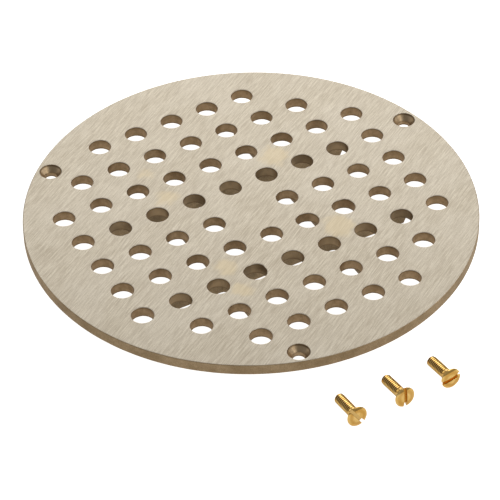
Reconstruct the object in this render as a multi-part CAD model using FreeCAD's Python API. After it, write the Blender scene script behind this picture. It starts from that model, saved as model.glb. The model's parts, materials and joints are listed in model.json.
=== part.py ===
import FreeCAD, Part
import math
import os

# Round cast floor drain grate with its three loose slotted oval-head machine screws.
# Millimetres, +Z up. The origin is the plate's centre on its seat plane, the flat underside
# that rests on the drain body. +X and +Y run along the square grid of drain holes. The grate
# stands on the bottoms of its stiffening ribs, and the screws lie in a row beside it.

# Plate
PLATE_DIAMETER = 203.2
PLATE_THICKNESS = 5.08
RIM_EDGE_BREAK = 0.35

# Drain holes: a square grid, filled out to HOLE_GRID_REACH pitches, with a solid middle
HOLE_DIAMETER = 10.0
HOLE_PITCH = 18.6
HOLE_GRID_REACH = 4.5
HOLE_EDGE_BREAK = 0.25

# Countersunk screw holes near the rim
SCREW_HOLE_CIRCLE = 190.5
SCREW_HOLE_COUNT = 3
FIRST_SCREW_HOLE_ANGLE = 12.74
SCREW_HOLE_DIAMETER = 5.56
COUNTERSINK_DIAMETER = 10.0
COUNTERSINK_LAND = 0.4
COUNTERSINK_ANGLE = 82.0

# Stiffening ribs: two each way, halfway between hole rows, drafted towards the bottom
RIB_OFFSET = 1.5 * HOLE_PITCH
RIB_HEIGHT = 7.3
RIB_ROOT_WIDTH = 5.0
RIB_BOTTOM_WIDTH = 2.9
RIB_ROOT_HALF_LENGTH = 65.0
RIB_BOTTOM_HALF_LENGTH = 62.0
RIB_ROOT_FILLET = 1.0
RIB_BOTTOM_FILLET = 0.4
RIB_CORNER_FILLET = 1.2

# Screw: No. 10-24 by 5/8 in, slotted oval head, length measured from the head's rim to the tip
THREAD_DIAMETER = 4.83
THREAD_PITCH = 25.4 / 24
THREAD_DEPTH = 0.65
THREAD_CREST = THREAD_PITCH / 8
THREAD_FLANK_ANGLE = 30.0
SCREW_LENGTH = 15.875
NECK_LENGTH = 1.0
TIP_CHAMFER = 0.5
HEAD_DIAMETER = 9.3
HEAD_RIM = 0.2
HEAD_DOME_HEIGHT = 0.95
SLOT_WIDTH = 1.4
SLOT_DEPTH = 2.15

# Where the loose screws lie: tips in a row beyond the rim, heads outwards. Each slot's roll is
# its turn from level, anticlockwise as seen facing the head.
SCREW_TIP_LINE = -114.7
SCREW_ROW_X = (-22.7, 0.3, 23.0)
SCREW_HEADINGS = (-91.5, -90.4, -90.2)
SCREW_SLOT_ROLLS = (-55.0, 87.0, 12.0)

FLOOR = -RIB_HEIGHT
OVERCUT = 1.0
THREAD_OVERCUT = 0.08
LEVEL_TOLERANCE = 0.01
REST_TOLERANCE = 0.02
ORIGIN = FreeCAD.Vector(0, 0, 0)
Y_AXIS = FreeCAD.Vector(0, 1, 0)
Z_AXIS = FreeCAD.Vector(0, 0, 1)


def revolved(outline):
    """Solid of revolution about Z of a closed outline of (radius, height) corners."""
    corners = [FreeCAD.Vector(radius, 0, height) for radius, height in outline]
    wire = Part.makePolygon(corners + corners[:1])
    return Part.Face(wire).revolve(ORIGIN, Z_AXIS, 360)


def make_disc():
    """The round plate, with both rim edges broken."""
    radius = PLATE_DIAMETER / 2
    inner = radius - RIM_EDGE_BREAK
    top = PLATE_THICKNESS
    return revolved([
        (0, 0),
        (inner, 0),
        (radius, RIM_EDGE_BREAK),
        (radius, top - RIM_EDGE_BREAK),
        (inner, top),
        (0, top),
    ])


def drain_hole_centres():
    """Grid points within reach of the middle, without the middle itself."""
    reach = math.ceil(HOLE_GRID_REACH)
    centres = []
    for row in range(-reach, reach + 1):
        for column in range(-reach, reach + 1):
            steps = math.hypot(row, column)
            if 0 < steps <= HOLE_GRID_REACH:
                centres.append(FreeCAD.Vector(column * HOLE_PITCH, row * HOLE_PITCH, 0))
    return centres


def make_drain_hole_cutter():
    """One drain hole through the plate, with its two edges broken."""
    radius = HOLE_DIAMETER / 2
    mouth = radius + HOLE_EDGE_BREAK + OVERCUT
    top = PLATE_THICKNESS
    return revolved([
        (0, -OVERCUT),
        (mouth, -OVERCUT),
        (radius, HOLE_EDGE_BREAK),
        (radius, top - HOLE_EDGE_BREAK),
        (mouth, top + OVERCUT),
        (0, top + OVERCUT),
    ])


def make_screw_hole_cutter():
    """One countersunk through hole: a short straight land, the cone and the shank hole."""
    mouth = COUNTERSINK_DIAMETER / 2
    radius = SCREW_HOLE_DIAMETER / 2
    slope = math.tan(math.radians(COUNTERSINK_ANGLE / 2))
    land_bottom = PLATE_THICKNESS - COUNTERSINK_LAND
    cone_bottom = land_bottom - (mouth - radius) / slope
    return revolved([
        (0, -OVERCUT),
        (radius, -OVERCUT),
        (radius, cone_bottom),
        (mouth, land_bottom),
        (mouth, PLATE_THICKNESS + OVERCUT),
        (0, PLATE_THICKNESS + OVERCUT),
    ])


def rectangle(half_length, half_width, height):
    """Closed rectangular wire about the Z axis, longer along X."""
    corners = [
        FreeCAD.Vector(half_length, half_width, height),
        FreeCAD.Vector(-half_length, half_width, height),
        FreeCAD.Vector(-half_length, -half_width, height),
        FreeCAD.Vector(half_length, -half_width, height),
    ]
    return Part.makePolygon(corners + corners[:1])


def make_rib():
    """One rib along X through the origin, with draft on its sides and sloping ends."""
    root = rectangle(RIB_ROOT_HALF_LENGTH, RIB_ROOT_WIDTH / 2, 0)
    bottom = rectangle(RIB_BOTTOM_HALF_LENGTH, RIB_BOTTOM_WIDTH / 2, FLOOR)
    return Part.makeLoft([root, bottom], True, True)


def full_height_edges(frame):
    """The slanting edges at the ribs' ends and where two ribs cross."""
    edges = []
    for edge in frame.Edges:
        box = edge.BoundBox
        if box.ZMin < FLOOR + LEVEL_TOLERANCE and box.ZMax > -LEVEL_TOLERANCE:
            edges.append(edge)
    return edges


def make_rib_frame():
    """The four crossing ribs as one solid, with rounded corners and bottom edges."""
    ribs = []
    for side in (-RIB_OFFSET, RIB_OFFSET):
        along_x = make_rib()
        along_x.translate(FreeCAD.Vector(0, side, 0))
        along_y = make_rib()
        along_y.rotate(ORIGIN, Z_AXIS, 90)
        along_y.translate(FreeCAD.Vector(side, 0, 0))
        ribs += [along_x, along_y]
    frame = ribs[0].fuse(ribs[1:]).removeSplitter()
    frame = frame.makeFillet(RIB_CORNER_FILLET, full_height_edges(frame))
    bottom = FLOOR + LEVEL_TOLERANCE
    bottom_edges = [edge for edge in frame.Edges if edge.BoundBox.ZMax < bottom]
    return frame.makeFillet(RIB_BOTTOM_FILLET, bottom_edges)


def rib_root_edges(casting):
    """Edges where the ribs meet the plate's underside."""
    edges = []
    for edge in casting.Edges:
        box = edge.BoundBox
        level = abs(box.ZMin) < LEVEL_TOLERANCE and abs(box.ZMax) < LEVEL_TOLERANCE
        if level and box.DiagonalLength < PLATE_DIAMETER:
            edges.append(edge)
    return edges


def make_grate_plate():
    """The one-piece casting: disc, ribs, drain holes and screw holes."""
    casting = make_disc().fuse(make_rib_frame()).removeSplitter()
    casting = casting.makeFillet(RIB_ROOT_FILLET, rib_root_edges(casting))
    cutters = []
    for centre in drain_hole_centres():
        cutter = make_drain_hole_cutter()
        cutter.translate(centre)
        cutters.append(cutter)
    for number in range(SCREW_HOLE_COUNT):
        cutter = make_screw_hole_cutter()
        cutter.translate(FreeCAD.Vector(SCREW_HOLE_CIRCLE / 2, 0, 0))
        angle = FIRST_SCREW_HOLE_ANGLE + number * 360 / SCREW_HOLE_COUNT
        cutter.rotate(ORIGIN, Z_AXIS, angle)
        cutters.append(cutter)
    return casting.cut(Part.makeCompound(cutters))


def make_screw_blank():
    """The screw before threading and slotting. Its tip is at the origin and its head is up."""
    shank = THREAD_DIAMETER / 2
    rim = HEAD_DIAMETER / 2
    slope = math.tan(math.radians(COUNTERSINK_ANGLE / 2))
    rim_bottom = SCREW_LENGTH - HEAD_RIM
    cone_bottom = rim_bottom - (rim - shank) / slope
    blank = revolved([
        (0, 0),
        (shank - TIP_CHAMFER, 0),
        (shank, TIP_CHAMFER),
        (shank, cone_bottom),
        (rim, rim_bottom),
        (rim, SCREW_LENGTH),
        (0, SCREW_LENGTH),
    ])
    ball = (rim ** 2 + HEAD_DOME_HEIGHT ** 2) / (2 * HEAD_DOME_HEIGHT)
    ball_centre = SCREW_LENGTH + HEAD_DOME_HEIGHT - ball
    dome = Part.makeSphere(ball, FreeCAD.Vector(0, 0, ball_centre))
    width = 2 * HEAD_DIAMETER
    corner = FreeCAD.Vector(-width / 2, -width / 2, SCREW_LENGTH)
    above_rim = Part.makeBox(width, width, rim, corner)
    return blank.fuse(dome.common(above_rim)).removeSplitter(), cone_bottom


def make_thread_cutter(top):
    """Helical V groove from below the tip up to the given height."""
    outer = THREAD_DIAMETER / 2 + THREAD_OVERCUT
    root = THREAD_DIAMETER / 2 - THREAD_DEPTH
    flank = math.tan(math.radians(THREAD_FLANK_ANGLE))
    crest_half_gap = (THREAD_PITCH - THREAD_CREST) / 2
    outer_half_gap = crest_half_gap + (outer - THREAD_DIAMETER / 2) * flank
    root_half_gap = crest_half_gap - THREAD_DEPTH * flank
    start = -THREAD_PITCH
    corners = [
        FreeCAD.Vector(root, 0, start - root_half_gap),
        FreeCAD.Vector(outer, 0, start - outer_half_gap),
        FreeCAD.Vector(outer, 0, start + outer_half_gap),
        FreeCAD.Vector(root, 0, start + root_half_gap),
    ]
    profile = Part.makePolygon(corners + corners[:1])
    helix = Part.makeHelix(THREAD_PITCH, top - start, root)
    helix.translate(FreeCAD.Vector(0, 0, start))
    return Part.Wire(helix).makePipeShell([profile], True, True)


def make_slot_cutter():
    """Screwdriver slot across the head, along X."""
    width = 2 * HEAD_DIAMETER
    bottom = SCREW_LENGTH + HEAD_DOME_HEIGHT - SLOT_DEPTH
    corner = FreeCAD.Vector(-width / 2, -SLOT_WIDTH / 2, bottom)
    return Part.makeBox(width, SLOT_WIDTH, 2 * SLOT_DEPTH, corner)


def make_screw():
    """One slotted oval-head screw, tip at the origin, head up."""
    blank, cone_bottom = make_screw_blank()
    threaded = blank.cut(make_thread_cutter(cone_bottom - NECK_LENGTH))
    return threaded.cut(make_slot_cutter())


def lowest_point(shape):
    """Height of a shape's lowest point, from a fine mesh, because its box is looser."""
    points, _ = shape.copy().tessellate(REST_TOLERANCE)
    return min(point.z for point in points)


def lay_down(screw, tip_x, heading, slot_roll):
    """The screw laid on the floor: it rests on its head's rim and its first thread."""
    rim = HEAD_DIAMETER / 2
    shank = THREAD_DIAMETER / 2
    reach = SCREW_LENGTH - TIP_CHAMFER
    tilt = math.degrees(math.atan2(rim - shank, reach))
    laid = screw.copy()
    laid.rotate(ORIGIN, Z_AXIS, 90 + slot_roll)
    laid.rotate(ORIGIN, Y_AXIS, 90 - tilt)
    laid.rotate(ORIGIN, Z_AXIS, heading)
    lift = FLOOR - lowest_point(laid)
    laid.translate(FreeCAD.Vector(tip_x, SCREW_TIP_LINE, lift))
    return laid


def main():
    os.makedirs("parts", exist_ok=True)
    nodes = {"grate_plate": make_grate_plate()}
    screw = make_screw()
    placings = zip(SCREW_ROW_X, SCREW_HEADINGS, SCREW_SLOT_ROLLS)
    for number, (tip_x, heading, slot_roll) in enumerate(placings, start=1):
        nodes[f"screw_{number}"] = lay_down(screw, tip_x, heading, slot_roll)
    for name, shape in nodes.items():
        shape.exportStep(f"parts/{name}.step")
        print(name, "valid", shape.isValid(), "volume", round(shape.Volume, 1), "mm3")


main()
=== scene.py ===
import json
import math

import bmesh
import bpy
from mathutils import Matrix, Vector, noise
from mathutils.geometry import delaunay_2d_cdt


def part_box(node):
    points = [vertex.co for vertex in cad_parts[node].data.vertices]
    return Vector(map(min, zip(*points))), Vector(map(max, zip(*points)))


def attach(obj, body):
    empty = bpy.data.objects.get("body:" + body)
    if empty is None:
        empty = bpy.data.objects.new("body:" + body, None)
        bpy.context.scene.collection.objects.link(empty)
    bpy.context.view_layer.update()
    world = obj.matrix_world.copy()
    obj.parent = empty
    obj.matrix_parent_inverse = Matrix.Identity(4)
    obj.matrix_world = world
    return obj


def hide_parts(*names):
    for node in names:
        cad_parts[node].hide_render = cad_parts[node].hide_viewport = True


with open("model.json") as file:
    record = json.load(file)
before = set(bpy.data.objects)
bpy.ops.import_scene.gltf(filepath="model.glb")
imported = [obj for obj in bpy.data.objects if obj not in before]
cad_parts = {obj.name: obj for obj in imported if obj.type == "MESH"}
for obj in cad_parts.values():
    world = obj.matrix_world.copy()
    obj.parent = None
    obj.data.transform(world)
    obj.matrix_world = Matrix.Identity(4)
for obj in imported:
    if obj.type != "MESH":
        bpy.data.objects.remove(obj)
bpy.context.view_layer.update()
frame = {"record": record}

# Lengths are in millimetres until a mesh is made, and angles in degrees, if nothing else is said.
MM = 0.001

# The plate's own sizes come from the frame; the sizes inside it repeat the design's.
plate_low, plate_high = (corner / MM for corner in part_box("grate_plate"))
PLATE_RADIUS = plate_high.x
PLATE_TOP = plate_high.z
FLOOR = plate_low.z
PLATE_BOTTOM = 0.0
RIM_ROUND = 0.35

HOLE_RADIUS = 5.0
HOLE_PITCH = 18.6
HOLE_GRID_REACH = 4.5
HOLE_ROUND = 0.25

screw_holes = frame["record"]["mounts"][0]["dims"]
SCREW_CIRCLE_RADIUS = screw_holes["pcd_mm"] / 2
SCREW_HOLE_RADIUS = screw_holes["hole_r_mm"]
SCREW_HOLE_COUNT = screw_holes["count"]
FIRST_SCREW_HOLE_ANGLE = 12.74
COUNTERSINK_RADIUS = 5.0
COUNTERSINK_LAND = 0.4
COUNTERSINK_ANGLE = 82.0
COUNTERSINK_SLOPE = math.tan(math.radians(COUNTERSINK_ANGLE / 2))

RIB_OFFSET = 1.5 * HOLE_PITCH
RIB_ROOT_HALF_WIDTH = 2.5
RIB_BOTTOM_HALF_WIDTH = 1.45
RIB_ROOT_HALF_LENGTH = 65.0
RIB_BOTTOM_HALF_LENGTH = 62.0
RIB_ROOT_FILLET = 1.0
RIB_BOTTOM_ROUND = 0.4
RIB_CORNER_RADIUS = 1.2
RIB_SMALLEST_CORNER = 0.15

# Small flaws in the top edge of three drain holes: column, row, direction, half angle, size.
# Each is widest over its middle, and ragged; it runs down the wall and fades out there.
CHIP_FLATNESS = 1.6
CHIP_RAGGEDNESS = 0.3
CHIP_WAVES = 4
CHIP_LIP_SHARE = 0.85
CHIP_WALL_SHARE = 0.8
CHIP_WALL_START = 0.45
EDGE_CHIPS = (
    (1, -1, 135.0, 50.0, 0.7),
    (2, -1, 130.0, 50.0, 0.7),
    (2, -1, 55.0, 40.0, 0.35),
    (-1, -2, 130.0, 48.0, 0.6),
    (-1, -2, 48.0, 45.0, 0.65),
)

# The as-cast skin: how far it swells and sinks, and how many waves fit in a millimetre
SKIN_COARSE_SIZE = 0.05
SKIN_COARSE_WAVES = 0.11
SKIN_FINE_SIZE = 0.045
SKIN_FINE_WAVES = 0.55
SKIN_BORE_SHARE = 0.6
SKIN_OUTSIDE_SHARE = 0.7
SKIN_OUTSIDE_REACH = 0.5
SKIN_START_DEPTH = 0.6
SKIN_FADE_DEPTH = 1.2

# Screws
THREAD_RADIUS = 2.415
THREAD_PITCH = 25.4 / 24
THREAD_DEPTH = 0.57
SCREW_LENGTH = 15.875
THREAD_RUN_OUT = 0.6 * THREAD_PITCH
NECK_LENGTH = 1.0
TIP_CHAMFER = 0.5
# Rings of the shallow dimple in the tip: share of the tip's radius, and height
TIP_DIMPLE = ((0.0, 0.12), (0.35, 0.1), (0.75, 0.03), (0.9, 0.0))
HEAD_RADIUS = 4.65
HEAD_RIM = 0.2
HEAD_DOME_HEIGHT = 0.84
DOME_POWER = 3.0
DOME_EDGE_POWER = 12
SLOT_HALF_WIDTH = 0.7
SLOT_DEPTH = 2.04
SLOT_EDGE_ROUND = 0.1
# Which way each screw's head points, anticlockwise from +X, and its slot's turn about its axis
SCREW_HEADINGS = (-91.5, -90.4, -90.2)
SCREW_SLOT_ROLLS = (-55.0, 87.0, 12.0)

# How finely the meshes are divided
RIM_STEPS = 288
HOLE_STEPS = 48
SCREW_HOLE_STEPS = 96
ARC_STEPS = 4
RIM_CAST_STEPS = 3
RIB_ARM_STEPS = 13
RIB_BAY_STEPS = 20
# Where rings of points divide a side, as shares of its height
EVEN_SHARES = (0.2, 0.4, 0.6, 0.8)
HOLE_WALL_SHARES = (0.2, 0.4, 0.6, 0.75, 0.88)
COUNTERSINK_SHARES = (0.09, 0.35, 0.65, 0.93)
HEAD_CONE_SHARES = (0.15, 0.4, 0.7, 1.0)
TOP_GRID = 4.0
UNDERSIDE_GRID = 2.4
SIDE_STEPS = 28
SLOT_STEPS = 4
SLOT_EDGE_STEPS = 3
SLOT_EDGE_RUN_OUT_STEPS = 3
THREAD_ROWS = 12
DOME_ROWS = 14
# A filled face's grid: distance of its rows, and room it leaves to the outlines, in grid steps
GRID_ROW_SHARE = 0.866
GRID_ROOM_SHARE = 0.55
# A narrow flat band beside every rounded edge, which keeps the shading of the flat face even
SUPPORT = 0.25
# Points closer than this are joined, and edges sharper than this angle are shaded as sharp
MERGE = 0.0005
SHARP_ANGLE = 38.0


class MeshMaker:
    """Collects points and faces in millimetres, joins coincident points, and makes one object."""

    def __init__(self):
        self.points = []
        self.faces = []
        self.slots = []

    def add(self, points):
        """Adds points and returns their indices."""
        start = len(self.points)
        self.points.extend(Vector(point) for point in points)
        return list(range(start, len(self.points)))

    def face(self, corners, slot=0):
        self.faces.append(tuple(corners))
        self.slots.append(slot)

    def bridge(self, lower, upper, slot=0, closed=True):
        """Quads between two rows of as many points, facing outwards when upper lies above lower."""
        count = len(lower)
        for index in range(count if closed else count - 1):
            after = (index + 1) % count
            self.face((lower[index], lower[after], upper[after], upper[index]), slot)

    def rows(self, rings, slot=0, closed=True):
        """Bridges each ring of points to the next. Returns the first and last rings' indices."""
        indices = [self.add(ring) for ring in rings]
        for lower, upper in zip(indices, indices[1:]):
            self.bridge(lower, upper, slot, closed)
        return indices[0], indices[-1]

    def make(self, name, materials, change=None):
        """The finished object. change(mesh) alters its shape first."""
        mesh = bmesh.new()
        verts = [mesh.verts.new(point) for point in self.points]
        for corners, slot in zip(self.faces, self.slots):
            if len(set(corners)) > 2:
                face = mesh.faces.new([verts[corner] for corner in corners])
                face.material_index = slot
                face.smooth = True
        bmesh.ops.remove_doubles(mesh, verts=mesh.verts, dist=MERGE)
        bmesh.ops.dissolve_degenerate(mesh, edges=mesh.edges, dist=MERGE / 2)
        loose = [vert for vert in mesh.verts if not vert.link_faces]
        bmesh.ops.delete(mesh, geom=loose, context="VERTS")
        mesh.normal_update()
        if change:
            change(mesh)
        data = bpy.data.meshes.new(name)
        bmesh.ops.scale(mesh, vec=(MM, MM, MM), verts=mesh.verts)
        mesh.to_mesh(data)
        mesh.free()
        for material in materials:
            data.materials.append(material)
        data.set_sharp_from_angle(angle=math.radians(SHARP_ANGLE))
        made = bpy.data.objects.new(name, data)
        bpy.context.scene.collection.objects.link(made)
        return made


def circle(centre, radius, height, count, extra=None):
    """Points round a circle, anticlockwise. extra(angle) widens it in places."""
    points = []
    for index in range(count):
        angle = 2 * math.pi * index / count
        reach = radius + (extra(angle) if extra else 0.0)
        points.append((
            centre[0] + reach * math.cos(angle),
            centre[1] + reach * math.sin(angle),
            height,
        ))
    return points


def smooth_step(value):
    """An S-shaped rise from 0 to 1 as value goes from 0 to 1."""
    value = min(max(value, 0.0), 1.0)
    return value * value * (3 - 2 * value)


# --- The grate plate ---------------------------------------------------------------------

TOP_SLOT, CAST_SLOT, BORE_SLOT, UNDER_SLOT, CUT_SLOT, SHADED_BORE_SLOT = range(6)


def drain_holes():
    """Grid steps (column, row) of every drain hole."""
    reach = math.ceil(HOLE_GRID_REACH)
    steps = range(-reach, reach + 1)
    return [(i, j) for i in steps for j in steps if 0 < math.hypot(i, j) <= HOLE_GRID_REACH]


def screw_hole_centres():
    """The screw holes' middles in the plan, anticlockwise."""
    centres = []
    for number in range(SCREW_HOLE_COUNT):
        angle = math.radians(FIRST_SCREW_HOLE_ANGLE + number * 360 / SCREW_HOLE_COUNT)
        x, y = SCREW_CIRCLE_RADIUS * math.cos(angle), SCREW_CIRCLE_RADIUS * math.sin(angle)
        centres.append((x, y))
    return centres


def chip_of(column, row):
    """How much the flaws widen this hole's top edge, as a function of the angle, or None."""
    flaws = [flaw[2:] for flaw in EDGE_CHIPS if flaw[:2] == (column, row)]
    if not flaws:
        return None

    def widening(angle):
        around = Vector((CHIP_WAVES * math.cos(angle), CHIP_WAVES * math.sin(angle), column))
        ragged = 1 - CHIP_RAGGEDNESS / 2 + CHIP_RAGGEDNESS * noise.noise(around)
        widest = 0.0
        for direction, half_angle, size in flaws:
            off = (math.degrees(angle) - direction + 180) % 360 - 180
            widest = max(widest, size * smooth_step(CHIP_FLATNESS * (1 - abs(off) / half_angle)))
        return widest * ragged
    return widening


def scaled(extra, share):
    """The same widening times share, or None."""
    if extra is None or share == 0:
        return None
    return lambda angle: share * extra(angle)


def arc(steps):
    """Pairs (sine, cosine) over a quarter circle."""
    angles = [math.pi / 2 * k / steps for k in range(steps + 1)]
    return [(math.sin(angle), math.cos(angle)) for angle in angles]


def before_rib(column, row):
    """Whether a drain hole's +Y side runs down into a rib along X, where its wall gets painted
    shade.
    """
    return row in (1, -2) and abs(column) * HOLE_PITCH < RIB_BOTTOM_HALF_LENGTH


def make_hole(maker, centre, column, row):
    """A drain hole's wall and its two rounded edges. Returns its outlines in both faces."""
    chip = chip_of(column, row)
    outer = HOLE_RADIUS + HOLE_ROUND
    middle_bottom = PLATE_BOTTOM + HOLE_ROUND
    middle_top = PLATE_TOP - HOLE_ROUND
    top_edge = circle(centre, outer + SUPPORT, PLATE_TOP, HOLE_STEPS, chip)
    bottom_edge = circle(centre, outer + SUPPORT, PLATE_BOTTOM, HOLE_STEPS)
    rings = [bottom_edge]
    for sine, cosine in arc(ARC_STEPS):
        height = middle_bottom - HOLE_ROUND * cosine
        rings.append(circle(centre, outer - HOLE_ROUND * sine, height, HOLE_STEPS))
    for share in HOLE_WALL_SHARES:
        height = middle_bottom + (middle_top - middle_bottom) * share
        fade = smooth_step((share - CHIP_WALL_START) / (1 - CHIP_WALL_START))
        chipped = scaled(chip, fade * CHIP_WALL_SHARE)
        rings.append(circle(centre, HOLE_RADIUS, height, HOLE_STEPS, chipped))
    rings.append(circle(centre, HOLE_RADIUS, middle_top, HOLE_STEPS, scaled(chip, CHIP_LIP_SHARE)))
    # A wall that runs into a rib takes darker tones, as painted shade
    slot = SHADED_BORE_SLOT if before_rib(column, row) else BORE_SLOT
    maker.rows([ring[::-1] for ring in rings], slot)
    lip = []
    for sine, cosine in arc(ARC_STEPS):
        radius = HOLE_RADIUS + HOLE_ROUND * (1 - cosine)
        height = middle_top + HOLE_ROUND * sine
        chipped = scaled(chip, CHIP_LIP_SHARE + (1 - CHIP_LIP_SHARE) * sine)
        lip.append(circle(centre, radius, height, HOLE_STEPS, chipped))
    lip.append(top_edge)
    maker.rows([ring[::-1] for ring in lip], TOP_SLOT)
    return top_edge, bottom_edge


def make_screw_hole(maker, centre):
    """A countersunk hole: rounded lip, straight land, cone, shank hole and lower edge."""
    lip = HOLE_ROUND / 2
    land_bottom = PLATE_TOP - COUNTERSINK_LAND
    cone_width = COUNTERSINK_RADIUS - SCREW_HOLE_RADIUS
    cone_foot = land_bottom - cone_width / COUNTERSINK_SLOPE
    bore = [(SCREW_HOLE_RADIUS + lip + SUPPORT, PLATE_BOTTOM)]
    for sine, cosine in arc(ARC_STEPS):
        bore.append((SCREW_HOLE_RADIUS + lip * (1 - sine), PLATE_BOTTOM + lip * (1 - cosine)))
    bore += [
        (SCREW_HOLE_RADIUS, cone_foot - 0.3),
        (SCREW_HOLE_RADIUS, cone_foot - 0.05),
        (SCREW_HOLE_RADIUS + 0.02, cone_foot + 0.02),
    ]
    cone = [bore[-1]]
    for share in COUNTERSINK_SHARES:
        rise = cone_width * share / COUNTERSINK_SLOPE
        cone.append((SCREW_HOLE_RADIUS + cone_width * share, cone_foot + rise))
    cone.append((COUNTERSINK_RADIUS, land_bottom))
    land = [cone[-1], (COUNTERSINK_RADIUS, PLATE_TOP - lip)]
    upper = [(COUNTERSINK_RADIUS + lip * (1 - cosine), PLATE_TOP - lip + lip * sine)
             for sine, cosine in arc(ARC_STEPS)]
    upper.append((COUNTERSINK_RADIUS + lip + SUPPORT, PLATE_TOP))
    parts = ((bore, BORE_SLOT), (cone, CUT_SLOT), (land, BORE_SLOT), (upper, TOP_SLOT))
    for outline, slot in parts:
        maker.rows([circle(centre, radius, height, SCREW_HOLE_STEPS)[::-1]
                    for radius, height in outline], slot)
    return (
        circle(centre, COUNTERSINK_RADIUS + lip + SUPPORT, PLATE_TOP, SCREW_HOLE_STEPS),
        circle(centre, SCREW_HOLE_RADIUS + lip + SUPPORT, PLATE_BOTTOM, SCREW_HOLE_STEPS),
    )


def make_rim(maker):
    """The plate's outer side, with both edges rounded. The grinding of the top face reaches
    over the last part of its edge. Returns the rim's outlines in both faces."""
    inner = PLATE_RADIUS - RIM_ROUND
    outline = [(inner - SUPPORT, PLATE_BOTTOM)]
    for sine, cosine in arc(ARC_STEPS):
        outline.append((inner + RIM_ROUND * sine, PLATE_BOTTOM + RIM_ROUND * (1 - cosine)))
    side_height = PLATE_TOP - PLATE_BOTTOM - 2 * RIM_ROUND
    for share in EVEN_SHARES:
        outline.append((PLATE_RADIUS, PLATE_BOTTOM + RIM_ROUND + side_height * share))
    rounding = [(inner + RIM_ROUND * cosine, PLATE_TOP - RIM_ROUND * (1 - sine))
                for sine, cosine in arc(ARC_STEPS)]
    outline += rounding[:RIM_CAST_STEPS + 1]
    maker.rows([circle((0, 0), radius, height, RIM_STEPS) for radius, height in outline], CAST_SLOT)
    upper = [*rounding[RIM_CAST_STEPS:], (inner - SUPPORT, PLATE_TOP)]
    maker.rows([circle((0, 0), radius, height, RIM_STEPS) for radius, height in upper], TOP_SLOT)
    return (
        circle((0, 0), inner - SUPPORT, PLATE_TOP, RIM_STEPS),
        circle((0, 0), inner - SUPPORT, PLATE_BOTTOM, RIM_STEPS),
    )


def rib_distance(x, y):
    """Distance from a point in the plan to the ribs' root outline, negative inside a rib."""
    nearest = math.inf
    for along, across in ((x, y), (y, x)):
        sideways = abs(abs(across) - RIB_OFFSET) - RIB_ROOT_HALF_WIDTH
        endways = abs(along) - RIB_ROOT_HALF_LENGTH
        outside = math.hypot(max(sideways, 0), max(endways, 0))
        nearest = min(nearest, outside + min(max(sideways, endways), 0))
    return nearest


def inside_triangles(triangles, constraints):
    """The triangles that an odd number of outlines surround."""
    beside = {}
    for number, corners in enumerate(triangles):
        for k in range(3):
            edge = tuple(sorted((corners[k], corners[k - 1])))
            beside.setdefault(edge, []).append(number)
    hull_edge = next(edge for edge, owners in beside.items() if len(owners) == 1)
    start = beside[hull_edge][0]
    surrounded = {start: hull_edge in constraints}
    waiting = [start]
    while waiting:
        number = waiting.pop()
        corners = triangles[number]
        for k in range(3):
            edge = tuple(sorted((corners[k], corners[k - 1])))
            for other in beside[edge]:
                if other not in surrounded:
                    surrounded[other] = surrounded[number] != (edge in constraints)
                    waiting.append(other)
    return [corners for number, corners in enumerate(triangles) if surrounded[number]]


def fill(maker, outlines, height, spacing, room, facing_up, slot):
    """Triangulates the flat region that lies between outlines, the outermost first.
    room(x, y) says how far a point is inside the region, and spaces the points within it."""
    points, edges = [], []
    for outline in outlines:
        start = len(points)
        points += [Vector((point[0], point[1])) for point in outline]
        count = len(outline)
        edges += [(start + k, start + (k + 1) % count) for k in range(count)]
    reach = max(abs(value) for point in points for value in point)
    row_spacing = spacing * GRID_ROW_SHARE
    rows = math.ceil(reach / row_spacing)
    columns = math.ceil(reach / spacing) + 1
    for row in range(-rows, rows + 1):
        for column in range(-columns, columns + 1):
            x = spacing * (column + 0.5 * (row % 2))
            y = row_spacing * row
            if room(x, y) > GRID_ROOM_SHARE * spacing:
                points.append(Vector((x, y)))
    inside_hull, epsilon = 1, 1e-6
    verts, _, triangles, _, _, _ = delaunay_2d_cdt(points, edges, [], inside_hull, epsilon, False)
    indices = maker.add([(vert.x, vert.y, height) for vert in verts])
    constraints = {tuple(sorted(edge)) for edge in edges}
    for triangle in inside_triangles(triangles, constraints):
        corners = [indices[corner] for corner in triangle]
        maker.face(corners if facing_up else corners[::-1], slot)


def room_between(holes, rim, ribs=False):
    """Function giving a point's distance to the nearest of the holes (x, y, radius), the rim
    and the ribs."""
    def room(x, y):
        nearest = rim - math.hypot(x, y)
        for hole_x, hole_y, radius in holes:
            nearest = min(nearest, math.hypot(x - hole_x, y - hole_y) - radius)
        if ribs:
            nearest = min(nearest, rib_distance(x, y) - RIB_ROOT_FILLET)
        return nearest
    return room


def rounded_outline(corners, radii, side_steps):
    """A closed outline of straight sides and rounded corners. corners are in order; the side
    after each corner is divided into its own number of steps, so outlines of one kind match."""
    points = []
    count = len(corners)
    for index in range(count):
        before = Vector(corners[index - 1])
        here = Vector(corners[index])
        after = Vector(corners[(index + 1) % count])
        incoming = (here - before).normalized()
        outgoing = (after - here).normalized()
        radius = radii[index]
        start = here - incoming * radius
        end = here + outgoing * radius
        centre = start + outgoing * radius
        for sine, cosine in arc(ARC_STEPS):
            points.append(centre - outgoing * radius * cosine + incoming * radius * sine)
        next_start = after - outgoing * radii[(index + 1) % count]
        steps = side_steps[index]
        points += [end.lerp(next_start, k / steps) for k in range(1, steps)]
    return points


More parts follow.
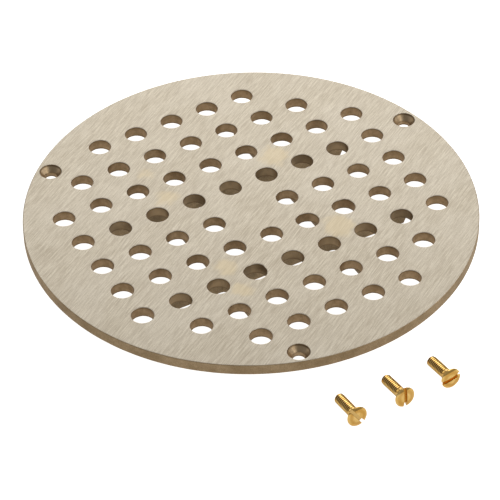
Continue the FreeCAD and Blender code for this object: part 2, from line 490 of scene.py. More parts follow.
def rib_outlines(half_width, half_length, shift):
    """The ribs' outer outline and the centre bay's outline in the plan, anticlockwise.
    shift is how far the sides stand out from where the corner radius is measured."""
    near, far = RIB_OFFSET - half_width, RIB_OFFSET + half_width
    hollow = max(RIB_CORNER_RADIUS - shift, RIB_SMALLEST_CORNER)
    proud = max(RIB_CORNER_RADIUS + shift, RIB_SMALLEST_CORNER)
    quarter = [(far, near), (half_length, near), (half_length, far), (far, far),
               (far, half_length), (near, half_length), (near, far)]
    corners = []
    for turn in range(4):
        spin = Matrix.Rotation(math.radians(90 * turn), 2)
        corners += [spin @ Vector(corner) for corner in quarter]
    radii = [hollow, proud, proud, hollow, proud, proud, hollow] * 4
    arm_steps = [RIB_ARM_STEPS, 1, RIB_ARM_STEPS]
    steps = [*arm_steps, *arm_steps, RIB_BAY_STEPS] * 4
    outer = rounded_outline(corners, radii, steps)
    square = [(near, near), (-near, near), (-near, -near), (near, -near)]
    inner = rounded_outline(square, [hollow] * 4, [RIB_BAY_STEPS] * 4)
    return outer, inner


def rib_levels():
    """(half width, half length, shift, height) from the root fillet down to the ribs' bottom."""
    levels = []
    for sine, cosine in arc(ARC_STEPS + 1):
        flare = RIB_ROOT_FILLET * (1 - sine)
        levels.append((flare, PLATE_BOTTOM - RIB_ROOT_FILLET * (1 - cosine)))
    side_top = PLATE_BOTTOM - RIB_ROOT_FILLET
    side_bottom = FLOOR + RIB_BOTTOM_ROUND
    for share in (*EVEN_SHARES, 1.0):
        levels.append((0.0, side_top + (side_bottom - side_top) * share))
    for sine, cosine in arc(ARC_STEPS)[1:]:
        levels.append((-RIB_BOTTOM_ROUND * (1 - cosine), side_bottom - RIB_BOTTOM_ROUND * sine))
    levels.append((-RIB_BOTTOM_ROUND - SUPPORT, FLOOR))
    drafted = []
    for flare, height in levels:
        share = (PLATE_BOTTOM - height) / (PLATE_BOTTOM - FLOOR)
        narrowing = (RIB_ROOT_HALF_WIDTH - RIB_BOTTOM_HALF_WIDTH) * share
        shortening = (RIB_ROOT_HALF_LENGTH - RIB_BOTTOM_HALF_LENGTH) * share
        drafted.append((
            RIB_ROOT_HALF_WIDTH - narrowing + flare,
            RIB_ROOT_HALF_LENGTH - shortening + flare,
            flare - narrowing,
            height,
        ))
    return drafted


def make_ribs(maker):
    """The crossing ribs. Returns their root outlines in the plate's underside."""
    outer_rings, inner_rings = [], []
    for width, length, shift, height in rib_levels():
        outer, inner = rib_outlines(width, length, shift)
        outer_rings.append([(point.x, point.y, height) for point in outer])
        inner_rings.append([(point.x, point.y, height) for point in inner])
    maker.rows(outer_rings[::-1], UNDER_SLOT)
    maker.rows([ring[::-1] for ring in inner_rings[::-1]], UNDER_SLOT)
    width, length, _, _ = rib_levels()[-1]

    def on_rib(x, y):
        """How far a point of the plan lies inside the ribs' flat bottom."""
        room = -math.inf
        for along, across in ((x, y), (y, x)):
            sideways = width - abs(abs(across) - RIB_OFFSET)
            room = max(room, min(sideways, length - abs(along)))
        return room

    bottom = [outer_rings[-1], inner_rings[-1]]
    fill(maker, bottom, FLOOR, UNDERSIDE_GRID, on_rib, False, UNDER_SLOT)
    return outer_rings[0], inner_rings[0]


def roughen_casting(mesh):
    """Uneven as-cast skin on everything below the ground top face. At the rim and at the ribs'
    feet it only takes metal away, so the overall size stays."""
    mesh.normal_update()
    moves = []
    for vert in mesh.verts:
        point = vert.co
        depth = PLATE_TOP - point.z
        fade = smooth_step((depth - SKIN_START_DEPTH) / SKIN_FADE_DEPTH)
        if fade <= 0:
            continue
        coarse = noise.fractal(point * SKIN_COARSE_WAVES, 1.0, 2.0, 3)
        fine = noise.fractal(point * SKIN_FINE_WAVES + Vector((31, 7, 3)), 1.0, 2.0, 3)
        size = SKIN_COARSE_SIZE * coarse + SKIN_FINE_SIZE * fine
        at_rim = math.hypot(point.x, point.y) > PLATE_RADIUS - SKIN_OUTSIDE_REACH
        at_floor = point.z < FLOOR + SKIN_OUTSIDE_REACH
        if at_rim or at_floor:
            size = -abs(size) * SKIN_OUTSIDE_SHARE
        upright = abs(vert.normal.z) < 0.5
        if upright and not at_rim and point.z > PLATE_BOTTOM:
            size *= SKIN_BORE_SHARE
        moves.append((vert, vert.normal * size * fade))
    for vert, move in moves:
        vert.co += move


def make_plate(materials):
    """The whole casting, with its materials in the order of the slots."""
    maker = MeshMaker()
    top_holes, bottom_holes = [], []
    rim_top, rim_bottom = make_rim(maker)
    top_outlines, bottom_outlines = [rim_top], [rim_bottom]
    for column, row in drain_holes():
        centre = (column * HOLE_PITCH, row * HOLE_PITCH)
        top, bottom = make_hole(maker, centre, column, row)
        top_outlines.append(top)
        bottom_outlines.append(bottom)
        top_holes.append((*centre, HOLE_RADIUS + HOLE_ROUND + SUPPORT))
        bottom_holes.append((*centre, HOLE_RADIUS + HOLE_ROUND + SUPPORT))
    for centre in screw_hole_centres():
        top, bottom = make_screw_hole(maker, centre)
        top_outlines.append(top)
        bottom_outlines.append(bottom)
        top_holes.append((*centre, COUNTERSINK_RADIUS + HOLE_ROUND / 2 + SUPPORT))
        bottom_holes.append((*centre, SCREW_HOLE_RADIUS + HOLE_ROUND / 2 + SUPPORT))
    bottom_outlines += make_ribs(maker)
    rim = PLATE_RADIUS - RIM_ROUND - SUPPORT
    top_room = room_between(top_holes, rim)
    fill(maker, top_outlines, PLATE_TOP, TOP_GRID, top_room, True, TOP_SLOT)
    bottom_room = room_between(bottom_holes, rim, ribs=True)
    fill(maker, bottom_outlines, PLATE_BOTTOM, UNDERSIDE_GRID, bottom_room, False, UNDER_SLOT)
    return maker.make("grate_plate_casting", materials, roughen_casting)


# --- The screws --------------------------------------------------------------------------

def slot_half_angle(radius):
    """Half the angle that the slot takes up at this radius."""
    return math.asin(SLOT_HALF_WIDTH / radius)


def slot_share(column):
    """From 1 at one end of the slot to -1 at the other, evenly seen from the head's middle."""
    gap = slot_half_angle(HEAD_RADIUS)
    return math.cos(gap + (math.pi - 2 * gap) * column / SIDE_STEPS) / math.cos(gap)


def half_angles(radius):
    """Angles round one side of the slot, from mouth to mouth."""
    gap = slot_half_angle(radius)
    return [gap + (math.pi - 2 * gap) * k / SIDE_STEPS for k in range(SIDE_STEPS + 1)]


def screw_angles(radius):
    """Angles round the screw: one side of the slot, a slot mouth, the other side, its mouth."""
    gap = slot_half_angle(radius)
    angles = half_angles(radius)[:-1]
    angles += [math.pi - gap + 2 * gap * k / SLOT_STEPS for k in range(SLOT_STEPS)]
    return angles + [angle + math.pi for angle in angles]


def dome_height(x, y):
    """Height of the head's dome above a point of its plan."""
    share = min(math.hypot(x, y) / HEAD_RADIUS, 1.0)
    return SCREW_LENGTH + HEAD_DOME_HEIGHT * (1 - share ** DOME_POWER)


def cone_radius(height):
    """Radius of the head's cone at a height."""
    return HEAD_RADIUS - (SCREW_LENGTH - HEAD_RIM - height) * COUNTERSINK_SLOPE


def cone_bottom():
    """Height at which the head's cone meets the neck."""
    return SCREW_LENGTH - HEAD_RIM - (HEAD_RADIUS - THREAD_RADIUS) / COUNTERSINK_SLOPE


def slot_bottom():
    """Height of the slot's flat bottom."""
    return SCREW_LENGTH + HEAD_DOME_HEIGHT - SLOT_DEPTH


def thread_cut(phase):
    """Depth of the thread groove, from 0 on the crest to 1 in the root, at a share of a pitch."""
    return 1 - abs(phase - 0.5) * 2


def thread_radius(height, angle, top):
    """Radius of the threaded shank."""
    phase = (height / THREAD_PITCH - angle / (2 * math.pi)) % 1.0
    run_out = smooth_step((top - height) / THREAD_RUN_OUT)
    radius = THREAD_RADIUS - THREAD_DEPTH * thread_cut(phase) * run_out
    return min(radius, THREAD_RADIUS - TIP_CHAMFER + height)


def level_ring(angles, radius, height):
    """Points of one height and radius at the given angles."""
    return [(radius * math.cos(angle), radius * math.sin(angle), height) for angle in angles]


def threaded_rings(angles, top):
    """Open rings that rise by one pitch in their turn, from the tip up to the neck. Where they
    pass either end they lie flat on it, and join into one."""
    once_round = angles + [angles[0] + 2 * math.pi]
    rings = []
    for row in range(-2 * THREAD_ROWS, math.ceil(top / THREAD_PITCH * THREAD_ROWS) + 1):
        ring = []
        for angle in once_round:
            rise = row / THREAD_ROWS + angle / (2 * math.pi)
            height = min(max(rise * THREAD_PITCH, 0.0), top)
            radius = thread_radius(height, angle, top)
            ring.append((radius * math.cos(angle), radius * math.sin(angle), height))
        rings.append(ring)
    return rings


def make_screw_sides(maker):
    """Tip, thread, neck and cone, up to the bottom of the slot."""
    angles = screw_angles(cone_radius(slot_bottom()))
    top = cone_bottom() - NECK_LENGTH
    tip_radius = THREAD_RADIUS - TIP_CHAMFER
    tip = [level_ring(angles, tip_radius * share, height) for share, height in TIP_DIMPLE]
    thread_start = []
    for angle in angles:
        radius = thread_radius(0.0, angle, top)
        thread_start.append((radius * math.cos(angle), radius * math.sin(angle), 0.0))
    tip.append(thread_start)
    maker.rows(tip)
    maker.rows(threaded_rings(angles, top), closed=False)
    neck = [
        (THREAD_RADIUS, top),
        (THREAD_RADIUS, top + 0.3),
        (THREAD_RADIUS, cone_bottom() - 0.15),
        (THREAD_RADIUS + 0.04, cone_bottom() + 0.02),
    ]
    for share in HEAD_CONE_SHARES:
        height = cone_bottom() + (slot_bottom() - cone_bottom()) * share
        neck.append((cone_radius(height), height))
    maker.rows([level_ring(angles, radius, height) for radius, height in neck])


def head_levels():
    """(radius, height) up the outside of the head from the slot's bottom to the dome."""
    rim_bottom = SCREW_LENGTH - HEAD_RIM
    soft = HEAD_RIM / 4
    return [
        (cone_radius(slot_bottom()), slot_bottom()),
        (cone_radius(rim_bottom - 0.12), rim_bottom - 0.12),
        (HEAD_RADIUS - 0.03, rim_bottom),
        (HEAD_RADIUS, rim_bottom + soft),
        (HEAD_RADIUS, SCREW_LENGTH - soft),
        (HEAD_RADIUS - 0.04, SCREW_LENGTH + soft / 2),
    ]


def make_head_half(maker, turned):
    """One half of the head, beside the slot: side, dome, rounded slot edge and slot wall."""
    spin = Matrix.Rotation(math.pi if turned else 0.0, 3, "Z")

    def add_rings(rings):
        maker.rows([[spin @ Vector(point) for point in ring] for ring in rings], closed=False)

    levels = head_levels()
    add_rings([level_ring(half_angles(radius), radius, height) for radius, height in levels])

    edge_radius, edge_height = levels[-1]
    reach = math.sqrt(edge_radius ** 2 - SLOT_HALF_WIDTH ** 2)
    drop = dome_height(edge_radius, 0) - edge_height

    def on_dome(x, y):
        """Height of the dome, brought down at its edge to meet the head's side."""
        share = min(math.hypot(x, y) / edge_radius, 1.0)
        return dome_height(x, y) - drop * share ** DOME_EDGE_POWER

    def edge_size(k):
        """Size of the slot edge's rounding, which runs out at both ends."""
        return SLOT_EDGE_ROUND * smooth_step(min(k, SIDE_STEPS - k) / SLOT_EDGE_RUN_OUT_STEPS)

    dome_rings = []
    for row in range(DOME_ROWS + 1):
        share = row / DOME_ROWS
        ring = []
        for k, angle in enumerate(half_angles(edge_radius)):
            outer = Vector((edge_radius * math.cos(angle), edge_radius * math.sin(angle)))
            inner = Vector((reach * slot_share(k), SLOT_HALF_WIDTH + edge_size(k)))
            point = outer.lerp(inner, share)
            ring.append((point.x, point.y, on_dome(point.x, point.y)))
        dome_rings.append(ring)
    add_rings(dome_rings)

    wall_rings = []
    for sine, cosine in arc(SLOT_EDGE_STEPS):
        ring = []
        for k in range(SIDE_STEPS + 1):
            x, size = reach * slot_share(k), edge_size(k)
            y = SLOT_HALF_WIDTH + size * (1 - sine)
            ring.append((x, y, on_dome(x, SLOT_HALF_WIDTH + size) - size * (1 - cosine)))
        wall_rings.append(ring)
    for radius, height in levels[-2::-1]:
        reach_here = math.sqrt(radius ** 2 - SLOT_HALF_WIDTH ** 2)
        wall_rings.append([(reach_here * slot_share(k), SLOT_HALF_WIDTH, height)
                           for k in range(SIDE_STEPS + 1)])
    add_rings(wall_rings)


def make_slot_floor(maker):
    """The flat bottom of the slot, between its two walls and its two mouths."""
    radius = cone_radius(slot_bottom())
    gap = slot_half_angle(radius)
    rings = []
    for step in range(SLOT_STEPS + 1):
        across = radius * math.sin(gap * (2 * step / SLOT_STEPS - 1))
        reach = math.sqrt(radius ** 2 - across ** 2)
        ring = [(reach * slot_share(k), across, slot_bottom()) for k in range(SIDE_STEPS + 1)]
        rings.append(ring[::-1])
    maker.rows(rings, closed=False)


def middle_of(low, high):
    """The middle of a box from two of its corners."""
    return (Vector(low) + Vector(high)) / 2


def make_screw(number):
    """One screw, lying where its frame node lies."""
    maker = MeshMaker()
    make_screw_sides(maker)
    make_head_half(maker, False)
    make_head_half(maker, True)
    make_slot_floor(maker)
    tilt = math.degrees(math.atan2(HEAD_RADIUS - THREAD_RADIUS, SCREW_LENGTH - TIP_CHAMFER))
    heading = SCREW_HEADINGS[number - 1]
    roll = SCREW_SLOT_ROLLS[number - 1]
    turn = (Matrix.Rotation(math.radians(heading), 3, "Z")
            @ Matrix.Rotation(math.radians(90 - tilt), 3, "Y")
            @ Matrix.Rotation(math.radians(90 + roll), 3, "Z"))
    turned = [turn @ point for point in maker.points]
    own_low = [min(point[axis] for point in turned) for axis in range(3)]
    own_high = [max(point[axis] for point in turned) for axis in range(3)]
    low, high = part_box(f"screw_{number}")
    shift = middle_of(low, high) / MM - middle_of(own_low, own_high)
    maker.points = [point + shift for point in turned]
    return maker.make(f"screw_{number}_oval_head", [screw_brass(number, shift, turn)])


# --- Materials ---------------------------------------------------------------------------

BRUSH_ANGLE = 31.0

# Faint warm marks in the brushed face: x, y and reach. The outline wanders by the raggedness,
# and the mark fades from its full strength over the last part of its reach.
WARM_MARK_STRENGTH = 0.5
WARM_MARK_RAGGEDNESS = 9.0
WARM_MARK_FADE_START = 7.5
WARM_MARK_FADE_END = 3.0
WARM_MARKS = (
    (28.5, 28.5, 7.0),
    (28.5, -28.5, 7.5),
    (-28.5, 27.0, 5.0),
    (-28.5, -28.0, 5.0),
    (-29.0, 46.7, 3.5),
    (-29.0, -44.0, 5.0),
)


def srgb(red, green, blue):
    """Linear colour, with alpha, of a screen colour given from 0 to 255."""
    def linear(value):
        share = value / 255
        return share / 12.92 if share <= 0.04045 else ((share + 0.055) / 1.055) ** 2.4
    return (linear(red), linear(green), linear(blue), 1.0)


WHITE = (1.0, 1.0, 1.0, 1.0)
# The brushed face
BRUSHED_DARK = srgb(190, 178, 158)
BRUSHED_LIGHT = srgb(217, 207, 188)
BRUSHED_BAND = srgb(188, 175, 152)
BRUSHED_CLOUD = srgb(220, 211, 195)
BRUSHED_HAIRLINE = srgb(166, 150, 124)
BRUSHED_PORE = srgb(176, 162, 138)
BRUSHED_WARM = srgb(223, 204, 166)
# The cast skins: darker patches, lighter patches, sand
RIM_TONES = (srgb(160, 137, 104), srgb(186, 162, 128), srgb(142, 118, 82))
UNDERSIDE_TONES = (srgb(162, 143, 113), srgb(200, 178, 143), srgb(134, 114, 85))
# The holes' walls: darker patches, lighter patches, and the same darker as painted shade where a
# wall runs into a rib; the ends of the walls; the cut cones, with painted shade just below the land
BORE_TONES = (srgb(176, 151, 116), srgb(204, 178, 142))
SHADED_BORE_TONES = (srgb(149, 130, 102), srgb(197, 173, 137))
BORE_END = srgb(112, 90, 60)
CUT_DARK = srgb(160, 138, 108)
CUT_LIGHT = srgb(182, 160, 130)
# Painted shade on the cones just below the land
PAINTED_LAND_SHADE = srgb(92, 72, 46)
# The screws
BRASS_DARK = srgb(232, 187, 102)
BRASS_LIGHT = srgb(248, 211, 134)
BRASS_TARNISH = srgb(196, 142, 58)
# Painted shade in the thread's roots
BRASS_ROOT_SHADE = srgb(98, 42, 4)
# Painted darker reflection in a ring round the dome
BRASS_RING_REFLECTION = srgb(198, 142, 58)
# Painted shade in the slot
BRASS_SLOT_SHADE = srgb(212, 178, 116)
# The floor
FLOOR_DARK = srgb(228, 228, 228)
FLOOR_LIGHT = srgb(234, 234, 234)


class Shading:
    """Builds one node material around a Principled shader."""

    def __init__(self, name, metallic, roughness):
        self.material = bpy.data.materials.new(name)
        self.material.use_nodes = True
        self.tree = self.material.node_tree
        self.shader = self.tree.nodes["Principled BSDF"]
        self.shader.inputs["Metallic"].default_value = metallic
        self.shader.inputs["Roughness"].default_value = roughness
        self.coordinates = self.node("ShaderNodeTexCoord").outputs["Object"]

    def lay(self, shift, turn):
        """Measures from a part's own origin and axes, which lie shifted and turned."""
        self.coordinates = self.node(
            "ShaderNodeMapping",
            [("Vector", self.coordinates), ("Location", shift * MM), ("Rotation", turn.to_euler())],
            vector_type="TEXTURE",
        ).outputs["Vector"]

    def node(self, kind, inputs=(), **settings):
        """A new node. inputs holds (socket, value) pairs, where a value may be another socket."""
        made = self.tree.nodes.new(kind)
        for name, value in settings.items():
            setattr(made, name, value)
        for socket, value in inputs:
            self.put(value, made.inputs[socket])
        return made

    def put(self, value, socket):
        """Sets a socket, or links another socket to it."""
        if isinstance(value, bpy.types.NodeSocket):
            self.tree.links.new(value, socket)
        else:
            socket.default_value = value

    def stretched(self, length, width, angle=0.0, offset=(0.0, 0.0, 0.0)):
        """Object coordinates in units of length along angle and of width across it."""
        return self.node(
            "ShaderNodeMapping",
            [("Vector", self.coordinates), ("Location", Vector(offset) * MM),
             ("Rotation", (0.0, 0.0, math.radians(angle))),
             ("Scale", (length * MM, width * MM, width * MM))],
            vector_type="TEXTURE",
        ).outputs["Vector"]

    def noise(self, vector, detail=2.0, roughness=0.5):
        return self.node(
            "ShaderNodeTexNoise",
            [("Vector", vector), ("Scale", 1.0), ("Detail", detail), ("Roughness", roughness)],
        ).outputs["Fac"]

    def spread(self, value, low, high, to_low=0.0, to_high=1.0):
        """value, with low to high stretched over to_low to to_high and clamped there."""
        return self.node(
            "ShaderNodeMapRange",
            [("Value", value), ("From Min", low), ("From Max", high),
             ("To Min", to_low), ("To Max", to_high)],
            interpolation_type="SMOOTHSTEP",
        ).outputs["Result"]

    def calculate(self, operation, first, second=0.0):
        made = self.node("ShaderNodeMath", [(0, first), (1, second)], operation=operation)
        return made.outputs[0]

    def times(self, first, second):
        return self.calculate("MULTIPLY", first, second)

    def length(self, vector):
        made = self.node("ShaderNodeVectorMath", [(0, vector)], operation="LENGTH")
        return made.outputs["Value"]

    def separate(self):
        """The object coordinates' X, Y and Z sockets."""
        made = self.node("ShaderNodeSeparateXYZ", [("Vector", self.coordinates)])
        return made.outputs["X"], made.outputs["Y"], made.outputs["Z"]

    def blend(self, share, first, second):
        """Colour first turning into colour second as share goes from 0 to 1."""
        made = self.node("ShaderNodeMix", data_type="RGBA")
        self.put(share, made.inputs[0])
        self.put(first, made.inputs[6])
        self.put(second, made.inputs[7])
        return made.outputs[2]

    def bump(self, height, distance, strength, under=None):
        inputs = [("Height", height), ("Distance", distance * MM), ("Strength", strength)]
        if under:
            inputs.append(("Normal", under))
        return self.node("ShaderNodeBump", inputs).outputs["Normal"]

    def finish(self, colour, normal=None, roughness=None):
        self.put(colour, self.shader.inputs["Base Color"])
        if normal:
            self.put(normal, self.shader.inputs["Normal"])
        if roughness:
            self.put(roughness, self.shader.inputs["Roughness"])
        return self.material


def brushed_top():
    """Satin nickel bronze, ground flat and brushed one way, with faint warm marks over the
    ribs, where the casting cooled last."""
    shading = Shading("nickel_bronze_brushed", 1.0, 0.36)
    fine = shading.noise(shading.stretched(7.0, 0.32, BRUSH_ANGLE), 3.0, 0.65)
    middle = shading.noise(shading.stretched(10.0, 0.5, BRUSH_ANGLE + 1.5, (5, 9, 0)), 2.0)
    strokes = shading.calculate("ADD", shading.times(fine, 0.55), shading.times(middle, 0.45))
    tone = shading.blend(shading.spread(strokes, 0.37, 0.63), BRUSHED_DARK, BRUSHED_LIGHT)
    broad = shading.noise(shading.stretched(26.0, 2.2, BRUSH_ANGLE - 1.5, (3, 40, 0)), 2.0)
    tone = shading.blend(shading.spread(broad, 0.3, 0.7, 0.0, 0.07), tone, BRUSHED_BAND)
    cloud = shading.noise(shading.stretched(38.0, 22.0, BRUSH_ANGLE, (17, 5, 0)), 3.0)
    tone = shading.blend(shading.spread(cloud, 0.35, 0.75, 0.0, 0.3), tone, BRUSHED_CLOUD)
    hairlines = shading.noise(shading.stretched(12.0, 0.3, BRUSH_ANGLE - 2.5, (8, 3, 0)), 1.0)
    tone = shading.blend(shading.spread(hairlines, 0.62, 0.78, 0.0, 0.5), tone, BRUSHED_HAIRLINE)
    pores = shading.noise(shading.stretched(0.8, 0.5, BRUSH_ANGLE, (4, 6, 0)), 2.0, 0.6)
    tone = shading.blend(shading.spread(pores, 0.5, 0.72, 0.0, 0.45), tone, BRUSHED_PORE)
    tone = add_warm_marks(shading, tone)
    height = shading.calculate("ADD", fine, shading.times(middle, 1.5))
    normal = shading.bump(height, 0.012, 0.4)
    roughness = shading.spread(strokes, 0.3, 0.7, 0.42, 0.32)
    return shading.finish(tone, normal, roughness)


def add_warm_marks(shading, tone):
    """The tone with the warm marks in it, each of a ragged outline."""
    ragged = shading.noise(shading.stretched(6.0, 4.0, BRUSH_ANGLE, (2, 2, 0)), 3.0)
    raggedness = shading.times(ragged, -WARM_MARK_RAGGEDNESS * MM)
    for x, y, reach in WARM_MARKS:
        offset = shading.node(
            "ShaderNodeVectorMath",
            [(0, shading.coordinates), (1, Vector((x, y, PLATE_TOP)) * MM)],
            operation="SUBTRACT",
        ).outputs["Vector"]
        edge = shading.calculate("ADD", shading.length(offset), raggedness)
        low, high = reach - WARM_MARK_FADE_START, reach - WARM_MARK_FADE_END
        mark = shading.spread(edge, low * MM, high * MM, WARM_MARK_STRENGTH, 0.0)
        tone = shading.blend(mark, tone, BRUSHED_WARM)
    return tone


def cast_skin(name, dark, light, sand_tone):
    """As-cast nickel bronze: brown, sandy and uneven."""
    shading = Shading(name, 0.9, 0.55)
    patches = shading.noise(shading.stretched(9.0, 9.0), 4.0, 0.6)
    sand = shading.noise(shading.stretched(0.5, 0.5, 0.0, (7, 1, 3)), 3.0, 0.65)
    tone = shading.blend(shading.spread(patches, 0.3, 0.7), dark, light)
    tone = shading.blend(shading.spread(sand, 0.35, 0.7, 0.0, 0.5), tone, sand_tone)
    lumps = shading.bump(patches, 0.25, 0.35)
    normal = shading.bump(sand, 0.08, 0.5, lumps)
    return shading.finish(tone, normal, shading.spread(sand, 0.3, 0.7, 0.5, 0.65))


def bore_skin(name, patch_size, dark, light):
    """The darker walls of the holes, darkest towards both ends."""
    shading = Shading(name, 0.9, 0.5)
    patches = shading.noise(shading.stretched(patch_size, patch_size), 3.0, 0.6)
    sand = shading.noise(shading.stretched(0.4, 0.4, 0.0, (1, 5, 2)), 3.0, 0.6)
    tone = shading.blend(shading.spread(patches, 0.3, 0.7), dark, light)
    _, _, height = shading.separate()
    middle = (PLATE_TOP + PLATE_BOTTOM) / 2
    off = shading.calculate("ABSOLUTE", shading.calculate("SUBTRACT", height, middle * MM))
    near_end = shading.spread(off, (middle - 1.1) * MM, (middle - 0.25) * MM, 0.0, 0.6)
    tone = shading.blend(near_end, tone, BORE_END)
    normal = shading.bump(sand, 0.06, 0.45)
    return shading.finish(tone, normal, shading.spread(sand, 0.3, 0.7, 0.42, 0.6))


def machined_cone():
    """The cones of the countersinks, cut bright, with painted shade darkening them just below the
    land.
    """
    shading = Shading("nickel_bronze_cut", 1.0, 0.42)
    cloud = shading.noise(shading.stretched(4.0, 4.0), 3.0, 0.6)
    tone = shading.blend(shading.spread(cloud, 0.3, 0.7), CUT_DARK, CUT_LIGHT)
    _, _, height = shading.separate()
    land_bottom = PLATE_TOP - COUNTERSINK_LAND
    low, high = land_bottom - 0.7, land_bottom - 0.1
    # Painted shade: the cone turns dark just below the land
    land_shade = shading.spread(height, low * MM, high * MM, 0.0, 0.75)
    tone = shading.blend(land_shade, tone, PAINTED_LAND_SHADE)
    fine = shading.noise(shading.stretched(0.5, 0.5), 2.0)
    return shading.finish(tone, shading.bump(fine, 0.01, 0.3))


def screw_brass(number, shift, turn):
    """Bright turned brass with a little tarnish, with painted shade darkening the thread's roots, a
    painted darker, warmer reflection in a ring round the dome and paler painted shade in the slot."""
    shading = Shading(f"screw_brass_{number}", 1.0, 0.24)
    shading.lay(shift, turn)
    cloud = shading.noise(shading.stretched(3.0, 3.0, 0.0, (11 * number, 5, 0)), 3.0)
    fine = shading.noise(shading.stretched(0.3, 0.3, 0.0, (3, 11 * number, 0)), 2.0)
    tone = shading.blend(shading.spread(cloud, 0.3, 0.7), BRASS_DARK, BRASS_LIGHT)
    tone = shading.blend(shading.spread(fine, 0.4, 0.75, 0.0, 0.3), tone, BRASS_TARNISH)
    x, y, height = shading.separate()
    flat = shading.node("ShaderNodeCombineXYZ", [("X", x), ("Y", y)])
    radius = shading.length(flat.outputs["Vector"])

    # Painted shade: the thread's roots are darkened
    root_end, crest_start = THREAD_RADIUS - THREAD_DEPTH + 0.15, THREAD_RADIUS - 0.12
    root_shade = shading.spread(radius, root_end * MM, crest_start * MM, 1.0, 0.0)
    on_thread = shading.calculate("LESS_THAN", height, cone_bottom() * MM)
    tone = shading.blend(shading.times(root_shade, on_thread), tone, BRASS_ROOT_SHADE)

    # Painted reflection: a darker, warmer ring round the dome
    unit = HEAD_RADIUS * MM
    inner = shading.spread(radius, 0.36 * unit, 0.6 * unit, 0.0, 0.6)
    outer = shading.spread(radius, 0.7 * unit, 0.92 * unit, 1.0, 0.1)
    on_dome = shading.calculate("GREATER_THAN", height, (SCREW_LENGTH + 0.1) * MM)
    ring = shading.times(shading.times(inner, outer), on_dome)
    tone = shading.blend(ring, tone, BRASS_RING_REFLECTION)

    # Painted shade: the slot's tone turns paler and duller
    across = shading.calculate("ABSOLUTE", y)
    narrow = shading.calculate("LESS_THAN", across, (SLOT_HALF_WIDTH + 0.02) * MM)
    high = shading.calculate("GREATER_THAN", height, (slot_bottom() - 0.05) * MM)
    slot_shade = shading.times(shading.times(narrow, high), 0.6)
    tone = shading.blend(slot_shade, tone, BRASS_SLOT_SHADE)
    normal = shading.bump(fine, 0.01, 0.3)
    return shading.finish(tone, normal, shading.spread(fine, 0.3, 0.7, 0.1, 0.17))


# --- Stage, light and camera -------------------------------------------------------------

CAMERA_TARGET = Vector((-13.6, -23.2, PLATE_TOP))
CAMERA_DISTANCE = 1352.0
CAMERA_AZIMUTH = -28.83
CAMERA_ELEVATION = 40.66
CAMERA_ROLL = 1.03
CAMERA_LENS = 221.9
CAMERA_SENSOR_WIDTH = 36.0
FLOOR_SIZE = 8000.0
FLOOR_GLOW = 0.3
FLOOR_SEEN_GLOW = 1.0
WORLD_GLOW = 0.32
# Soft square lights: name, azimuth, elevation, distance, size and power in watts
LIGHTS = (
    ("key", 149.0, 28.0, 1450.0, 1080.0, 3.75),
    ("side", 84.0, 34.0, 1300.0, 700.0, 3.2),
    ("back", 215.0, 30.0, 1450.0, 1080.0, 2.4),
    ("front", 30.0, 40.0, 1300.0, 800.0, 4.2),
)


def direction(azimuth, elevation):
    """Unit vector from the object towards this azimuth, which is 0 in front, and elevation."""
    a, e = math.radians(azimuth), math.radians(elevation)
    return Vector((math.sin(a) * math.cos(e), -math.cos(a) * math.cos(e), math.sin(e)))


def make_floor():
    """A pale floor at the ribs' feet. It can't be seen from below."""
    maker = MeshMaker()
    half = FLOOR_SIZE / 2
    plan = ((-half, -half), (half, -half), (half, half), (-half, half))
    maker.face(maker.add([(x, y, FLOOR) for x, y in plan]))
    shading = Shading("pale_floor", 0.0, 0.9)
    grain = shading.noise(shading.stretched(60.0, 60.0), 2.0)
    tone = shading.blend(shading.spread(grain, 0.2, 0.8), FLOOR_DARK, FLOOR_LIGHT)
    shading.shader.inputs["Specular IOR Level"].default_value = 0.0
    shading.shader.inputs["Emission Color"].default_value = WHITE
    seen = shading.node("ShaderNodeLightPath").outputs["Is Camera Ray"]
    glow = shading.spread(seen, 0.0, 1.0, FLOOR_GLOW, FLOOR_SEEN_GLOW)
    shading.put(glow, shading.shader.inputs["Emission Strength"])
    material = shading.finish(tone)
    output = shading.tree.nodes["Material Output"]
    clear = shading.node("ShaderNodeBsdfTransparent").outputs["BSDF"]
    backfacing = shading.node("ShaderNodeNewGeometry").outputs["Backfacing"]
    opaque = shading.shader.outputs["BSDF"]
    either = shading.node("ShaderNodeMixShader", [(0, backfacing), (1, opaque), (2, clear)])
    shading.put(either.outputs["Shader"], output.inputs["Surface"])
    floor = maker.make("floor", [material])


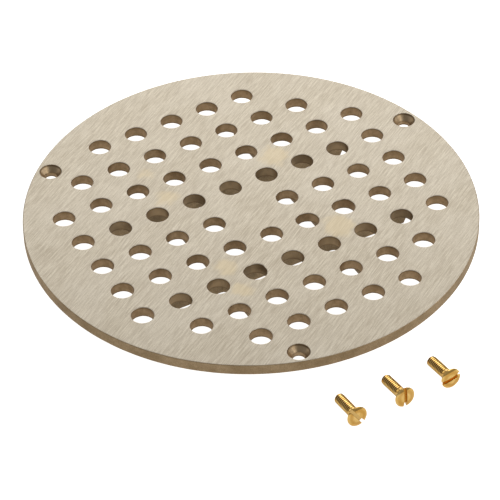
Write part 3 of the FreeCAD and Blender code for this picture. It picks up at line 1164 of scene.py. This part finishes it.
def add_area_light(name, azimuth, elevation, distance, size, power):
    """A soft square light that faces the object."""
    lamp = bpy.data.lights.new(name, "AREA")
    lamp.shape = "SQUARE"
    lamp.size = size * MM
    lamp.energy = power
    made = bpy.data.objects.new(name, lamp)
    back = direction(azimuth, elevation)
    made.location = back * distance * MM
    made.rotation_mode = "QUATERNION"
    made.rotation_quaternion = back.to_track_quat("Z", "Y")
    bpy.context.scene.collection.objects.link(made)


def make_world():
    """Even pale surroundings."""
    world = bpy.data.worlds.new("studio")
    world.use_nodes = True
    background = world.node_tree.nodes["Background"]
    background.inputs["Color"].default_value = WHITE
    background.inputs["Strength"].default_value = WORLD_GLOW
    bpy.context.scene.world = world


def make_camera():
    """A long lens looking down at the plate, rolled very slightly."""
    lens = bpy.data.cameras.new("camera")
    lens.sensor_width = CAMERA_SENSOR_WIDTH
    lens.lens = CAMERA_LENS
    lens.clip_start = 0.05
    lens.clip_end = 50.0
    camera = bpy.data.objects.new("camera", lens)
    back = direction(CAMERA_AZIMUTH, CAMERA_ELEVATION)
    right = Vector((0, 0, 1)).cross(back).normalized()
    up = back.cross(right)
    roll = math.radians(CAMERA_ROLL)
    rolled_right = right * math.cos(roll) - up * math.sin(roll)
    rolled_up = right * math.sin(roll) + up * math.cos(roll)
    turn = Matrix((rolled_right, rolled_up, back)).transposed()
    place = (CAMERA_TARGET + back * CAMERA_DISTANCE) * MM
    camera.matrix_world = Matrix.Translation(place) @ turn.to_4x4()
    bpy.context.scene.collection.objects.link(camera)
    bpy.context.scene.camera = camera


def make_studio():
    """Everything round the object."""
    make_floor()
    make_world()
    make_camera()
    for light in LIGHTS:
        add_area_light(*light)
    bpy.context.scene.view_settings.view_transform = "Standard"


# --- The whole scene ---------------------------------------------------------------------

plate = make_plate([
    brushed_top(),
    cast_skin("nickel_bronze_cast", *RIM_TONES),
    bore_skin("nickel_bronze_bore", 3.0, *BORE_TONES),
    cast_skin("nickel_bronze_under", *UNDERSIDE_TONES),
    machined_cone(),
    # Bore walls that run into a rib, darkened as painted shade
    bore_skin("nickel_bronze_bore_painted_shade", 14.0, *SHADED_BORE_TONES),
])
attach(plate, "grate")
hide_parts("grate_plate")

for number in (1, 2, 3):
    screw = make_screw(number)
    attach(screw, f"screw_{number}")
    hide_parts(f"screw_{number}")

make_studio()
